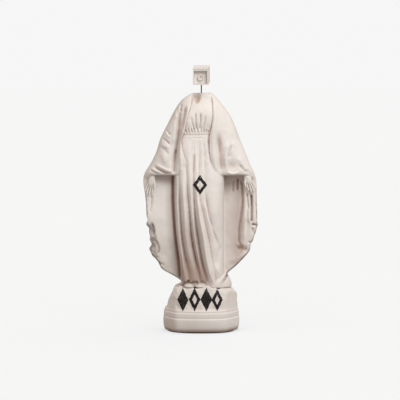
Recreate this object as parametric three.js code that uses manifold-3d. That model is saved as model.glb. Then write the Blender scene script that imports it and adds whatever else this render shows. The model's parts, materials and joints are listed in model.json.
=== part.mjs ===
// A cast Madonna statue whose head is a small camera-shaped box on a steel rod.
// Millimetres, +Z up, front towards -Y, origin at the middle of the felt pad's underside.
import * as THREE from "three";
import { mergeVertices } from "three/addons/utils/BufferGeometryUtils.js";
import Module from "manifold-3d";

const wasm = await Module();
wasm.setup();

// ---------------------------------------------------------------- driving dimensions
const GAP = 0.3; // clearance between castings and what is set into them
const FELT = 2; // thickness of the felt pad
const BASE_WALL = 8; // thickness of the hollow base casting
const SEAT_Z = 100; // top of the base, where the figure stands
const NECK_Z = 527; // top of the neck stump
const NECK_X = 1; // the rod's axis
const NECK_Y = -2;
const HEM_Z = 349; // lower edge of the cloak where it hangs over the arms
const WALL = 9; // thickness of the figure casting over its cavity
const RIM_THICK = 5; // thickness of the hanging cloak's edge
const ROD_R = 1.25;
const BUSH_R = 3;
const BUSH_LENGTH = 40;
const PIVOT_Z = 561; // height of the camera's tilt axis
const CAMERA_YAW = -4; // degrees, the box looks a little to its own right
const CAMERA_PITCH = 8; // degrees, and a little downwards
const BOX_WIDTH = 34.4;
const BOX_HEIGHT = 34;
const BOX_DEPTH = 46;
const BOX_WALL = 2.5;

// Stations up the base: height, half width, half depth.
const BASE_STATIONS = [
  [FELT + GAP, 76, 59],
  [8, 82, 65],
  [18, 85.5, 68.5],
  [30, 85, 68],
  [31.5, 82.5, 65.5],
  [43, 81.5, 64.5],
  [44.5, 79, 62.5],
  [62, 77, 59],
  [78, 73, 55],
  [92, 66, 51],
  [SEAT_Z, 56, 46],
];

// The cloud-like globe the feet stand on: centre x and z, and its half sizes.
const GLOBE = { x: 12, z: 95, halfSizes: [57, 46, 57] };

// Stations up the gown: height, centre, half width, front depth, back depth.
const GOWN_STATIONS = [
  [SEAT_Z + GAP, 9, 50, 42, 34],
  [125, 6, 50, 44, 36],
  [160, 2, 48, 44, 36],
  [230, 0, 49, 47, 36],
  [290, 0, 48, 46, 36],
  [350, -1, 44, 42, 36],
  [410, -4, 37, 36, 36],
  [437, -5, 34, 33, 34],
  [465, -3, 36, 38, 34],
  [490, 0, 34, 34, 32],
  [508, 1, 26, 24, 24],
  [518, 1, 16, 17, 17],
  [NECK_Z, 1, 12, 13, 13],
];

// Stations up the cloak over the arms: height, left and right outer edge, left and right front
// edge on the chest, depth of the sleeves in front, depth of the back.
const SLEEVE_STATIONS = [
  [HEM_Z, -126, 120, -33, 36, 38, 47],
  [371, -115, 111, -32, 28, 40, 48],
  [396, -103, 103, -38, 22, 41, 48],
  [430, -92, 90, -41, 19, 39, 47],
  [460, -78, 80, -38, 22, 37, 44],
  [486, -65, 68, -29, 26, 31, 40],
  [510, -49, 51, -22, 25, 24, 32],
  [524, -32, 37, -17, 20, 18, 24],
  [531, -20, 25, -12, 15, 13, 18],
];

// Stations up the hanging cloak: height, left and right edge, how far forward the edges are held,
// depth of the back, depth of the lining beside the gown on the left and on the right.
const DRAPE_STATIONS = [
  [SEAT_Z + GAP, -32, 46, -20, 39.5, 23, 24],
  [112, -44, 54, -18, 43, 22, 23],
  [124, -60, 62, -12, 46, 20, 23],
  [137, -79, 72, -6, 48, 17, 23],
  [156, -95, 89, -1, 49, 14, 22],
  [176, -112, 108, 4, 50, 11, 21],
  [210, -114, 119, 8, 50, 9, 21],
  [250, -121, 126, 10, 49, 7, 21],
  [290, -127, 125, 6, 48, 7, 21],
  [306, -128, 125, 1, 48, 7, 20],
  [340, -127, 123, 0, 48, 9, 19],
  [362, -118, 112, 0, 46, 10, 18],
];

// ---------------------------------------------------------------- shape helpers
const COLOURS = {
  cast: { color: 0xe6dcd3, roughness: 0.75, metalness: 0 },
  steel: { color: 0x6f7276, roughness: 0.35, metalness: 1 },
  brass: { color: 0xb59a55, roughness: 0.4, metalness: 1 },
  felt: { color: 0x3b332f, roughness: 1, metalness: 0 },
  wood: { color: 0xb08a5e, roughness: 0.8, metalness: 0 },
  pupil: { color: 0xd6c4c0, roughness: 0.25, metalness: 0 },
};

// A closed geometry as a manifold-3d solid.
function solidOf(geometry) {
  const bare = geometry.index ? geometry.toNonIndexed() : geometry.clone();
  bare.deleteAttribute("normal");
  bare.deleteAttribute("uv");
  const merged = mergeVertices(bare, 1e-4);
  const vertProperties = merged.attributes.position.array;
  const triVerts = new Uint32Array(merged.index.array);
  return new wasm.Manifold(new wasm.Mesh({ numProp: 3, vertProperties, triVerts }));
}

function geometryOf(solid) {
  const made = solid.getMesh();
  const geometry = new THREE.BufferGeometry();
  geometry.setAttribute("position", new THREE.BufferAttribute(new Float32Array(made.vertProperties), 3));
  geometry.setIndex(new THREE.BufferAttribute(new Uint32Array(made.triVerts), 1));
  return geometry;
}

// The values at a height, read between the two nearest stations.
function at(stations, z) {
  const next = stations.findIndex((s) => s[0] >= z);
  if (next <= 0) return stations[next === 0 ? 0 : stations.length - 1].slice(1);
  const [low, high] = [stations[next - 1], stations[next]];
  const t = (z - low[0]) / (high[0] - low[0]);
  return low.slice(1).map((v, i) => v + t * (high[i + 1] - v));
}

// A closed solid skinned over rings of points, counter-clockwise from above and listed upwards.
function loft(rings) {
  const count = rings[0].length;
  const points = rings.flat();
  const faces = [];
  for (let level = 0; level + 1 < rings.length; level++) {
    for (let i = 0; i < count; i++) {
      const a = level * count + i;
      const b = level * count + ((i + 1) % count);
      faces.push(a, b, b + count, a, b + count, a + count);
    }
  }
  const top = (rings.length - 1) * count;
  capFaces(rings[0]).forEach(([a, b, c]) => faces.push(c, b, a));
  capFaces(rings[rings.length - 1]).forEach(([a, b, c]) => faces.push(top + a, top + b, top + c));
  const geometry = new THREE.BufferGeometry().setFromPoints(points);
  geometry.setIndex(faces);
  return geometry;
}

// Triangles that fill a flat ring, which may be hollow-sided.
function capFaces(ring) {
  return THREE.ShapeUtils.triangulateShape(ring.map((p) => new THREE.Vector2(p.x, p.y)), []);
}

// A rounded oval with its own depth in front and behind.
function oval(z, centreX, halfWidth, front, back, count, power = 2.3) {
  return Array.from({ length: count }, (_, i) => {
    const turn = (i / count) * 2 * Math.PI;
    const c = Math.cos(turn);
    const s = Math.sin(turn);
    const x = centreX + halfWidth * Math.sign(c) * Math.abs(c) ** (2 / power);
    const y = (s < 0 ? front : back) * Math.sign(s) * Math.abs(s) ** (2 / power);
    return new THREE.Vector3(x, y, z);
  });
}

function cylinder(radius, low, high, x = 0, y = 0, sides = 24) {
  const geometry = new THREE.CylinderGeometry(radius, radius, high - low, sides);
  return geometry.rotateX(Math.PI / 2).translate(x, y, (low + high) / 2);
}

function block(width, depth, height, x, y, z) {
  return new THREE.BoxGeometry(width, depth, height).translate(x, y, z);
}

function mesh(name, geometry, look) {
  const made = new THREE.Mesh(geometry, new THREE.MeshStandardMaterial(COLOURS[look]));
  made.name = name;
  return made;
}

// ---------------------------------------------------------------- base
const BASE_SIDES = 32;
const BASE_POWER = 2.35;
const baseRing = ([z, halfWidth, halfDepth], inset = 0) =>
  oval(z, 0, halfWidth - inset, halfDepth - inset, halfDepth - inset, BASE_SIDES, BASE_POWER);

function feltPad() {
  const [, halfWidth, halfDepth] = BASE_STATIONS[0];
  const plan = [0, FELT].map((z) => baseRing([z, halfWidth - 1, halfDepth - 1]));
  return mesh("felt_pad", loft(plan), "felt");
}

function baseCasting() {
  const outer = solidOf(loft(BASE_STATIONS.map((s) => baseRing(s))));
  const hollowHeights = [FELT, 18, 44, 62, 86];
  const hollow = hollowHeights.map((z) => baseRing([z, ...at(BASE_STATIONS, z)], BASE_WALL));
  const rodHole = cylinder(TIE_R + GAP, 60, SEAT_Z + 5);
  const made = outer.subtract(solidOf(loft(hollow))).subtract(solidOf(rodHole));
  return mesh("base_casting", geometryOf(made), "cast");
}

// ---------------------------------------------------------------- the tie between base and figure
const TIE_R = 4;
const BLOCK_TOP = 150;
const BLOCK_WIDTH = 50;
const BLOCK_DEPTH = 34;
const CEILING_Z = 86; // underside of the base's top, inside

function footBlock() {
  const height = BLOCK_TOP - SEAT_Z - GAP;
  const body = solidOf(block(BLOCK_WIDTH, BLOCK_DEPTH, height, 2, -3, BLOCK_TOP - height / 2));
  const hole = solidOf(cylinder(TIE_R + 0.1, SEAT_Z - 5, BLOCK_TOP - 10));
  return mesh("foot_block", geometryOf(body.subtract(hole)), "wood");
}

function tieRod() {
  return mesh("tie_rod", cylinder(TIE_R, CEILING_Z - 18, BLOCK_TOP - 10 - GAP), "steel");
}

function tieWasher() {
  const disc = solidOf(cylinder(12, CEILING_Z - GAP - 2, CEILING_Z - GAP));
  const hole = solidOf(cylinder(TIE_R + GAP, CEILING_Z - 10, CEILING_Z + 5));
  return mesh("tie_washer", geometryOf(disc.subtract(hole)), "steel");
}

function tieNut() {
  const top = CEILING_Z - 2 * GAP - 2;
  const hexagon = solidOf(cylinder(7.5, top - 6.5, top, 0, 0, 6));
  const hole = solidOf(cylinder(TIE_R + 0.1, top - 10, top + 5));
  return mesh("tie_nut", geometryOf(hexagon.subtract(hole)), "steel");
}

// ---------------------------------------------------------------- figure
function gown(inset = 0, levels = GOWN_STATIONS.map((s) => s[0])) {
  return loft(levels.map((z) => {
    const [centre, halfWidth, front, back] = at(GOWN_STATIONS, z);
    return oval(z, centre, halfWidth - inset, front - inset, back - inset, 32);
  }));
}

// The cloak from the shoulders to the hem, as a solid that the gown's chest stands in.
function cloakOverArms() {
  return loft(SLEEVE_STATIONS.map(([z, left, right, innerLeft, innerRight, front, back]) => {
    const path = [
      [innerLeft, -front], [innerLeft * 0.55, -front * 0.35], [innerRight * 0.45, -front * 0.35],
      [innerRight, -front], [(innerRight + right) / 2, -front * 1.02], [right * 0.96, -front * 0.62],
      [right, 0], [right * 0.8, back * 0.62], [right * 0.4, back * 0.95], [left * 0.4, back * 0.95],
      [left * 0.8, back * 0.62], [left, 0], [left * 0.96, -front * 0.62],
      [(innerLeft + left) / 2, -front * 1.02],
    ];
    const curve = new THREE.CatmullRomCurve3(path.map(([x, y]) => new THREE.Vector3(x, y, z)), true, "centripetal");
    return curve.getPoints(42).slice(0, -1);
  }));
}

// The cloak that hangs behind the gown, open to the front and hollowed on both sides of the gown.
function hangingCloak() {
  const curveThrough = (path, z) =>
    new THREE.CatmullRomCurve3(path.map(([x, y]) => new THREE.Vector3(x, y, z)), false, "centripetal").getPoints(22);
  return loft(DRAPE_STATIONS.map(([z, left, right, forward, back, liningLeft, liningRight]) => {
    const side = (t) => -forward + t * (back + forward);
    const outer = curveThrough([
      [left, -forward], [left * 0.86, side(0.45)], [left * 0.5, side(0.87)], [0, back],
      [right * 0.5, side(0.87)], [right * 0.86, side(0.45)], [right, -forward],
    ], z);
    const curl = (lining) => (-forward + lining) / 2;
    const inner = curveThrough([
      [left + RIM_THICK, -forward], [left * 0.8, curl(liningLeft)], [left * 0.5, liningLeft], [0, liningRight],
      [right * 0.5, liningRight], [right * 0.8, curl(liningRight)], [right - RIM_THICK, -forward],
    ], z);
    return [...inner, ...outer.reverse()];
  }));
}

// The part of the globe that stands above the base.
function globe() {
  const { x, z, halfSizes } = GLOBE;
  const ball = new THREE.SphereGeometry(1, 32, 20).scale(...halfSizes).translate(x, 0, z);
  const below = block(200, 200, 100, 0, 0, SEAT_Z + GAP - 50);
  return solidOf(ball).subtract(solidOf(below));
}

// Hands, built with the wrist's end at the origin and the fingers down.
const WRIST_R = 5.5;
const WRIST_IN = 7; // how far the wrist stands in its socket
const PALM = [14.4, 8, 21];
const FINGER_R = 1.9;
const FINGERS = [
  { across: -5.2, length: 19, lean: -0.06 },
  { across: -1.7, length: 23, lean: -0.02 },
  { across: 1.8, length: 22, lean: 0.03 },
  { across: 5.1, length: 18, lean: 0.08 },
];
const DOWEL_R = 1.5;
const DOWEL_IN_FIGURE = 16;
const DOWEL_IN_HAND = 9;
const HANDS = [
  { side: "left", thumb: 1, place: [-107, -12, HEM_Z - 3], lean: 15 },
  { side: "right", thumb: -1, place: [101, -12, HEM_Z + 1], lean: -21 },
];

// Turns a geometry outwards by a hand's lean and carries it to the wrist.
function atWrist(geometry, { place, lean }) {
  return geometry.rotateY(THREE.MathUtils.degToRad(lean)).translate(...place);
}

function hand(wrist) {
  const palm = new THREE.SphereGeometry(1, 16, 10);
  palm.scale(PALM[0] / 2, PALM[1] / 2, PALM[2] / 2).translate(0, 0, -PALM[2] / 2);
  let made = solidOf(palm).add(solidOf(cylinder(WRIST_R, -6, WRIST_IN, 0, 0, 16)));
  for (const { across, length, lean } of FINGERS) {
    const finger = new THREE.CapsuleGeometry(FINGER_R, length, 4, 10).rotateX(Math.PI / 2);
    finger.rotateY(-lean).translate(across + lean * length, 0, -PALM[2] / 2 - length / 2);
    made = made.add(solidOf(finger));
  }
  const thumb = new THREE.CapsuleGeometry(FINGER_R + 0.2, 12, 4, 10).rotateX(Math.PI / 2);
  thumb.rotateY(-0.5 * wrist.thumb).translate(6.6 * wrist.thumb, -1.5, -12);
  made = made.add(solidOf(thumb));
  const hole = solidOf(cylinder(DOWEL_R + 0.1, -DOWEL_IN_HAND - GAP, 20, 0, 0, 12));
  return mesh("hand_" + wrist.side, atWrist(geometryOf(made.subtract(hole)), wrist), "cast");
}

function dowel(wrist) {
  const pin = cylinder(DOWEL_R, -DOWEL_IN_HAND, DOWEL_IN_FIGURE, 0, 0, 12);
  return mesh("hand_dowel_" + wrist.side, atWrist(pin, wrist), "steel");
}

function figureCasting() {
  let made = solidOf(gown()).add(solidOf(cloakOverArms())).add(solidOf(hangingCloak())).add(globe());
  const cavityLevels = [SEAT_Z - 5, 125, 160, 230, 290, 350, 410, 437, 470];
  made = made.subtract(solidOf(gown(WALL, cavityLevels)));
  for (const wrist of HANDS) {
    const cuff = new THREE.SphereGeometry(1, 20, 12).scale(9, 9, 17).translate(0, 0, 13);
    const socket = cylinder(WRIST_R + GAP, -10, WRIST_IN + GAP, 0, 0, 16);
    const pinHole = cylinder(DOWEL_R + GAP, -10, DOWEL_IN_FIGURE + GAP, 0, 0, 12);
    made = made.add(solidOf(atWrist(cuff, wrist)));
    made = made.subtract(solidOf(atWrist(socket, wrist)));
    made = made.subtract(solidOf(atWrist(pinHole, wrist)));
  }
  made = made.subtract(solidOf(cylinder(BUSH_R + 0.1, NECK_Z - BUSH_LENGTH - GAP, NECK_Z + 20, NECK_X, NECK_Y)));
  return mesh("figure_casting", geometryOf(made), "cast");
}

// ---------------------------------------------------------------- neck bush and rod
function neckBush() {
  const tube = solidOf(cylinder(BUSH_R, NECK_Z - BUSH_LENGTH, NECK_Z + 1, NECK_X, NECK_Y));
  const bore = solidOf(cylinder(ROD_R + 0.05, NECK_Z - BUSH_LENGTH + 3, NECK_Z + 5, NECK_X, NECK_Y));
  return mesh("neck_bush", geometryOf(tube.subtract(bore)), "brass");
}

const EYE_R = 4;
const EYE_THICK = 2.6;
const PIN_R = 1.2;

// The rod, flattened at its top into an eye that the camera's pivot screw passes through.
function mastRod() {
  const low = NECK_Z - BUSH_LENGTH + 3 + GAP;
  const shaft = solidOf(cylinder(ROD_R, low, PIVOT_Z, NECK_X, NECK_Y));
  const eye = new THREE.CylinderGeometry(EYE_R, EYE_R, EYE_THICK, 24).rotateZ(Math.PI / 2);
  const hole = new THREE.CylinderGeometry(PIN_R + 0.1, PIN_R + 0.1, 10, 24).rotateZ(Math.PI / 2);
  const turned = (geometry) => solidOf(geometry.rotateZ(THREE.MathUtils.degToRad(CAMERA_YAW))
    .translate(NECK_X, NECK_Y, PIVOT_Z));
  return mesh("mast_rod", geometryOf(shaft.add(turned(eye)).subtract(turned(hole))), "steel");
}

// ---------------------------------------------------------------- camera box
// Built about its pivot: front towards -Y, the pivot low in the middle of the box.
const FLOOR_Z = -9; // underside of the box below the pivot
const BOX_MID_Z = FLOOR_Z + BOX_HEIGHT / 2;
const BOX_MID_Y = 0;
const FRONT_Y = BOX_MID_Y - BOX_DEPTH / 2;
const BACK_Y = BOX_MID_Y + BOX_DEPTH / 2;
const BEZEL_Y = FRONT_Y + 9;
const BARREL_R = 7;
const LENS_Z = BOX_MID_Z - 0.5;
const LUG_THICK = 2.4;
const INNER_WIDTH = BOX_WIDTH - 2 * BOX_WALL;
const INNER_HEIGHT = BOX_HEIGHT - 2 * BOX_WALL;

// A round piece on the lens axis, from one distance back to another.
function lensTube(radius, bore, near, far) {
  const turned = (r, a, b) => solidOf(new THREE.CylinderGeometry(r, r, b - a, 36)
    .translate(0, (a + b) / 2, LENS_Z));
  const outer = turned(radius, near, far);
  return geometryOf(bore ? outer.subtract(turned(bore, near - 5, far + 5)) : outer);
}

function cameraHousing() {
  let made = solidOf(block(BOX_WIDTH, BOX_DEPTH, BOX_HEIGHT, 0, BOX_MID_Y, BOX_MID_Z));
  made = made.subtract(solidOf(block(INNER_WIDTH, BOX_DEPTH + 10, INNER_HEIGHT, 0, BOX_MID_Y, BOX_MID_Z)));
  const lugHeight = -FLOOR_Z - BOX_WALL + 4;
  for (const side of [-1, 1]) {
    const x = side * (EYE_THICK / 2 + GAP + LUG_THICK / 2);
    made = made.add(solidOf(block(LUG_THICK, 12, lugHeight + 1, x, 0, FLOOR_Z + BOX_WALL + (lugHeight - 1) / 2)));
  }
  const pinHole = new THREE.CylinderGeometry(PIN_R + 0.1, PIN_R + 0.1, 16, 24).rotateZ(Math.PI / 2);
  const slot = block(2 * ROD_R + 1.2, 17, 12, 0, 0, FLOOR_Z);
  made = made.subtract(solidOf(pinHole)).subtract(solidOf(slot));
  return mesh("camera_housing", geometryOf(made), "cast");
}

// The sunshield is a thick plate on the box, flush with its sides and all but flush with its front.
const SHIELD_THICK = 3;
const SHIELD_PROUD = 0.6; // how far it reaches past the front

function sunshield() {
  const low = FLOOR_Z + BOX_HEIGHT + GAP;
  const plate = block(BOX_WIDTH, BOX_DEPTH + SHIELD_PROUD, SHIELD_THICK, 0, BOX_MID_Y - SHIELD_PROUD / 2,
    low + SHIELD_THICK / 2);
  return mesh("sunshield", plate, "cast");
}

function bezel() {
  const plate = solidOf(block(INNER_WIDTH - 2 * GAP, 2, INNER_HEIGHT - 2 * GAP, 0, BEZEL_Y + 1, BOX_MID_Z));
  const hole = solidOf(lensTube(1.2, 0, BEZEL_Y - 5, BEZEL_Y + 8));
  return mesh("bezel_plate", geometryOf(plate.subtract(hole)), "cast");
}

const LENS_PIECES = [
  // name, radius, bore, near and far distance from the bezel's face, look
  ["lens_barrel", BARREL_R, BARREL_R - 2.5, -5, -GAP, "cast"],
  ["lens_ring", BARREL_R - 2.5 - GAP, 1.9, -3.6, -GAP, "cast"],
  ["lens_pupil", 1.6, 0, -3.2, -GAP, "pupil"],
];

function rearCover() {
  let plate = solidOf(block(BOX_WIDTH, 2.4, BOX_HEIGHT, 0, BACK_Y + GAP + 1.2, BOX_MID_Z));
  for (const [x, z] of COVER_SCREWS) {
    plate = plate.subtract(solidOf(new THREE.CylinderGeometry(1.2, 1.2, 20, 16).translate(x, BACK_Y, z)));
  }
  return mesh("rear_cover", geometryOf(plate), "cast");
}

const SCREW_INSET = 4.6;
const COVER_SCREWS = [-1, 1].flatMap((sx) => [-1, 1].map((sz) =>
  [sx * (BOX_WIDTH / 2 - SCREW_INSET), BOX_MID_Z + sz * (BOX_HEIGHT / 2 - SCREW_INSET)]));

// A pan-head screw along +Y, its head outside the rear cover.
function coverScrew(name, [x, z]) {
  const face = BACK_Y + 2.4 + GAP * 2;
  const head = new THREE.CylinderGeometry(2, 2, 1.3, 20).translate(x, face + 0.65, z);
  const shank = new THREE.CylinderGeometry(1, 1, 6, 16).translate(x, face - 2.9, z);
  return mesh(name, geometryOf(solidOf(head).add(solidOf(shank))), "steel");
}

// The pivot screw crosses both lugs and the rod's eye, with a nut on its far end.
const LUG_OUTER_X = EYE_THICK / 2 + GAP + LUG_THICK;

function pivotScrew() {
  const shank = new THREE.CylinderGeometry(PIN_R, PIN_R, 2 * LUG_OUTER_X + 3.6, 20).rotateZ(Math.PI / 2);
  const head = new THREE.CylinderGeometry(2.3, 2.3, 1.6, 20).rotateZ(Math.PI / 2);
  shank.translate(1.4, 0, 0);
  head.translate(-LUG_OUTER_X - GAP - 0.8, 0, 0);
  return mesh("pivot_screw", geometryOf(solidOf(shank).add(solidOf(head))), "steel");
}

function pivotNut() {
  const hexagon = new THREE.CylinderGeometry(2.9, 2.9, 2, 6).rotateZ(Math.PI / 2);
  const hole = new THREE.CylinderGeometry(PIN_R + 0.1, PIN_R + 0.1, 8, 20).rotateZ(Math.PI / 2);
  const made = solidOf(hexagon).subtract(solidOf(hole));
  const nut = mesh("pivot_nut", geometryOf(made), "steel");
  nut.position.x = LUG_OUTER_X + GAP + 1;
  return nut;
}

function cameraBox() {
  const camera = new THREE.Group();
  camera.position.set(NECK_X, NECK_Y, PIVOT_Z);
  camera.rotation.set(THREE.MathUtils.degToRad(CAMERA_PITCH), 0, THREE.MathUtils.degToRad(CAMERA_YAW), "ZXY");
  camera.add(cameraHousing(), sunshield(), bezel(), rearCover(), pivotScrew(), pivotNut());
  for (const [name, radius, bore, near, far, look] of LENS_PIECES) {
    camera.add(mesh(name, lensTube(radius, bore, BEZEL_Y + near, BEZEL_Y + far), look));
  }
  COVER_SCREWS.forEach((place, i) => camera.add(coverScrew("cover_screw_" + (i + 1), place)));
  return camera;
}

// ---------------------------------------------------------------- the whole statue
const statue = new THREE.Group();
statue.add(feltPad(), baseCasting(), footBlock(), tieRod(), tieWasher(), tieNut(), figureCasting());
HANDS.forEach((wrist) => statue.add(hand(wrist), dowel(wrist)));
statue.add(neckBush(), mastRod(), cameraBox());

export default statue;
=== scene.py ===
"""A cast Madonna statue whose head is a small camera-shaped box on a steel rod.

Drawn in millimetres in the row frame (+Z up, front towards -Y) and scaled to metres when a mesh is made.
"""

import json
import math

import bpy
import numpy as np
import openvdb
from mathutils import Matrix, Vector

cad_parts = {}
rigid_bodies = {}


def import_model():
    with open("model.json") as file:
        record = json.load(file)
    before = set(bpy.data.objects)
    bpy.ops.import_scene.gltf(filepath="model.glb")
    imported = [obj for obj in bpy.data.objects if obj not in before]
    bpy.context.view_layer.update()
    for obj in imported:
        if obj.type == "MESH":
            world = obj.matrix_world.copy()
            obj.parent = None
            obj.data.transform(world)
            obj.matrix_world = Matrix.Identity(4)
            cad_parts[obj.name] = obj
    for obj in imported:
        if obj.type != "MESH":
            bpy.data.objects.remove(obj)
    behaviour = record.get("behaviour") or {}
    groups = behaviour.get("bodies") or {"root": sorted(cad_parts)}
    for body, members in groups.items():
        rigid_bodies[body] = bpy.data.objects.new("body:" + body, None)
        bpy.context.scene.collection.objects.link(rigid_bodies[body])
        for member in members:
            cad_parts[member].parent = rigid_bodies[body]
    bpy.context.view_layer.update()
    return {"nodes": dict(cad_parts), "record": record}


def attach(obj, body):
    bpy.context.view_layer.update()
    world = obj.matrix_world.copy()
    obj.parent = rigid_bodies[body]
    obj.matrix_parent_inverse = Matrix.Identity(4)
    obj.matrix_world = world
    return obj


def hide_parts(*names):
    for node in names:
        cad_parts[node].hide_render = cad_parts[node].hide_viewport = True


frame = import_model()

FIGURE_VOXEL = 1.3
BASE_VOXEL = 1.3
HAND_VOXEL = 0.5

SEAT_Z = 100.3  # underside of the figure
HEM_Z = 349  # lower edge of the cloak over the arms
NECK_TOP_Z = 531  # where the cut neck ends
BED_Y = -6  # between its hanging edges the cloak is cut away in front of this depth
PLAN_POWER = 2.6  # shape of the hanging cloak seen from above: 2 is an ellipse, more is squarer


# ---------------------------------------------------------------- numbers along a curve
def track(points, at):
    """A smooth curve through (position, value) points, read at the positions in at."""
    p = np.array([q[0] for q in points], dtype=np.float32)
    v = np.array([q[1] for q in points], dtype=np.float32)
    slope = np.gradient(v, p)
    rise = np.diff(v) / np.diff(p)
    before, after = np.append(rise[:1], rise), np.append(rise, rise[-1:])
    most = 3 * np.minimum(np.abs(before), np.abs(after))
    slope = np.where(before * after > 0, np.clip(slope, -most, most), 0)
    at = np.clip(at, p[0], p[-1])
    i = np.clip(np.searchsorted(p, at, side="right") - 1, 0, len(p) - 2)
    h = p[i + 1] - p[i]
    t = (at - p[i]) / h
    t2, t3 = t * t, t * t * t
    return ((2 * t3 - 3 * t2 + 1) * v[i] + (t3 - 2 * t2 + t) * h * slope[i]
            + (3 * t2 - 2 * t3) * v[i + 1] + (t3 - t2) * h * slope[i + 1])


def smooth_step(low, high, value):
    t = np.clip((value - low) / (high - low), 0, 1)
    return t * t * (3 - 2 * t)


def smooth_max(a, b, k):
    h = np.clip(0.5 + 0.5 * (a - b) / k, 0, 1)
    return b + (a - b) * h + k * h * (1 - h)


def smooth_min(a, b, k):
    return -smooth_max(-a, -b, k)


def noise2(u, v, pitch, seed):
    """Smooth random values between -1 and 1 over a plane, with features about pitch apart."""
    rng = np.random.default_rng(seed)
    table = rng.uniform(-1, 1, (64, 64)).astype(np.float32)
    fu, fv = u / pitch, v / pitch
    iu, iv = np.floor(fu).astype(int), np.floor(fv).astype(int)
    tu, tv = fu - iu, fv - iv
    tu, tv = tu * tu * (3 - 2 * tu), tv * tv * (3 - 2 * tv)
    a = table[iu % 64, iv % 64] * (1 - tu) + table[(iu + 1) % 64, iv % 64] * tu
    b = table[iu % 64, (iv + 1) % 64] * (1 - tu) + table[(iu + 1) % 64, (iv + 1) % 64] * tu
    return a * (1 - tv) + b * tv


def noise3(x, y, z, pitch, seed):
    """The same in space, from three crossed planes."""
    a = noise2(x + 0.37 * z, y - 0.29 * x, pitch, seed)
    b = noise2(y + 0.31 * x, z + 0.23 * y, pitch, seed + 1)
    c = noise2(z - 0.27 * y, x + 0.33 * z, pitch, seed + 2)
    return (a + b + c) / 1.7


# ---------------------------------------------------------------- strokes on a relief map
def smooth_line(points, step=5.0):
    """Points along a smooth curve through the given ones."""
    pts = np.array(points, dtype=np.float32)
    if len(pts) == 2:
        count = max(2, int(np.linalg.norm(pts[1] - pts[0]) / step))
        return pts[0] + (pts[1] - pts[0]) * np.linspace(0, 1, count + 1)[:, None]
    length = np.concatenate([[0], np.cumsum(np.linalg.norm(np.diff(pts, axis=0), axis=1))])
    at = np.linspace(0, length[-1], max(3, int(length[-1] / step)))
    columns = [track(list(zip(length, pts[:, i])), at) for i in range(pts.shape[1])]
    return np.stack(columns, axis=1)


class Relief:
    """A map of depths over the (x, z) plane that strokes raise or sink."""

    def __init__(self, x, z):
        self.x = x.reshape(-1, 1)
        self.z = z.reshape(1, -1)
        self.depth = np.zeros((x.size, z.size), dtype=np.float32)

    def stroke(self, points, width, height, steep=0.0, taper=0.25):
        """Raises (or sinks, if height is below 0) a band along a curve.

        steep from -1 to 1 makes the side to the left or right of the curve's direction sharper.
        """
        line = smooth_line(points)
        reach = width * 3.2
        xs, zs = self.x[:, 0], self.z[0]
        ix = np.where((xs > line[:, 0].min() - reach) & (xs < line[:, 0].max() + reach))[0]
        iz = np.where((zs > line[:, 1].min() - reach) & (zs < line[:, 1].max() + reach))[0]
        if not len(ix) or not len(iz):
            return
        window = np.ix_(ix, iz)
        x, z = xs[ix][:, None], zs[iz][None, :]
        best = np.full((len(ix), len(iz)), 1e9, dtype=np.float32)
        side = np.zeros_like(best)
        along = np.zeros_like(best)
        count = len(line) - 1
        for i in range(count):
            a, b = line[i], line[i + 1]
            d = b - a
            size = max(float(np.hypot(*d)), 1e-6)
            t = np.clip(((x - a[0]) * d[0] + (z - a[1]) * d[1]) / size ** 2, 0, 1)
            px, pz = x - (a[0] + t * d[0]), z - (a[1] + t * d[1])
            far = np.hypot(px, pz)
            closer = far < best
            best = np.where(closer, far, best)
            side = np.where(closer, np.sign(d[0] * pz - d[1] * px), side)
            along = np.where(closer, (i + t) / count, along)
        wide = width * (1 - steep * side * 0.75) if steep else width
        ends = smooth_step(0, taper, along) * smooth_step(0, taper, 1 - along) if taper else 1
        self.depth[window] += height * np.exp(-(best / wide) ** 2) * ends

    def bump(self, centre, radii, height):
        u = (self.x - centre[0]) / radii[0]
        v = (self.z - centre[1]) / radii[1]
        self.depth += height * np.exp(-(u * u + v * v))


# ---------------------------------------------------------------- volumes and meshes
class Volume:
    """A grid over a box, holding a signed distance in millimetres, below 0 inside."""

    def __init__(self, low, high, voxel):
        self.low, self.voxel = np.array(low, dtype=np.float32), voxel
        axes = [np.arange(low[i], high[i] + voxel, voxel, dtype=np.float32) for i in range(3)]
        self.x = axes[0].reshape(-1, 1, 1)
        self.y = axes[1].reshape(1, -1, 1)
        self.z = axes[2].reshape(1, 1, -1)

    def relief(self):
        return Relief(self.x.ravel(), self.z.ravel())

    def mesh(self, distance):
        """Vertices in millimetres and quads of the surface at distance 0."""
        grid = openvdb.FloatGrid(float(3 * self.voxel))
        grid.copyFromArray(np.ascontiguousarray(np.clip(distance, -9, 9), dtype=np.float32))
        points, quads = grid.convertToQuads(0.0)
        return points * self.voxel + self.low, quads


def edges_of(quads):
    pairs = np.concatenate([quads[:, [0, 1]], quads[:, [1, 2]], quads[:, [2, 3]], quads[:, [3, 0]]])
    return np.unique(np.sort(pairs, axis=1), axis=0)


def relax(points, edges, rounds, factor=0.5):
    """Moves each point part of the way to the middle of its neighbours."""
    count = np.bincount(edges.ravel(), minlength=len(points)).astype(np.float32)[:, None]
    for _ in range(rounds):
        total = np.zeros_like(points)
        for axis in range(3):
            total[:, axis] = (np.bincount(edges[:, 0], weights=points[edges[:, 1], axis],
                                          minlength=len(points))
                              + np.bincount(edges[:, 1], weights=points[edges[:, 0], axis],
                                            minlength=len(points)))
        points = points + factor * (total / np.maximum(count, 1) - points)
    return points


def normals_of(points, quads):
    face = np.cross(points[quads[:, 2]] - points[quads[:, 0]], points[quads[:, 3]] - points[quads[:, 1]])
    normal = np.zeros_like(points)
    for corner in range(4):
        for axis in range(3):
            normal[:, axis] += np.bincount(quads[:, corner], weights=face[:, axis], minlength=len(points))
    return normal / np.maximum(np.linalg.norm(normal, axis=1, keepdims=True), 1e-9)


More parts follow.
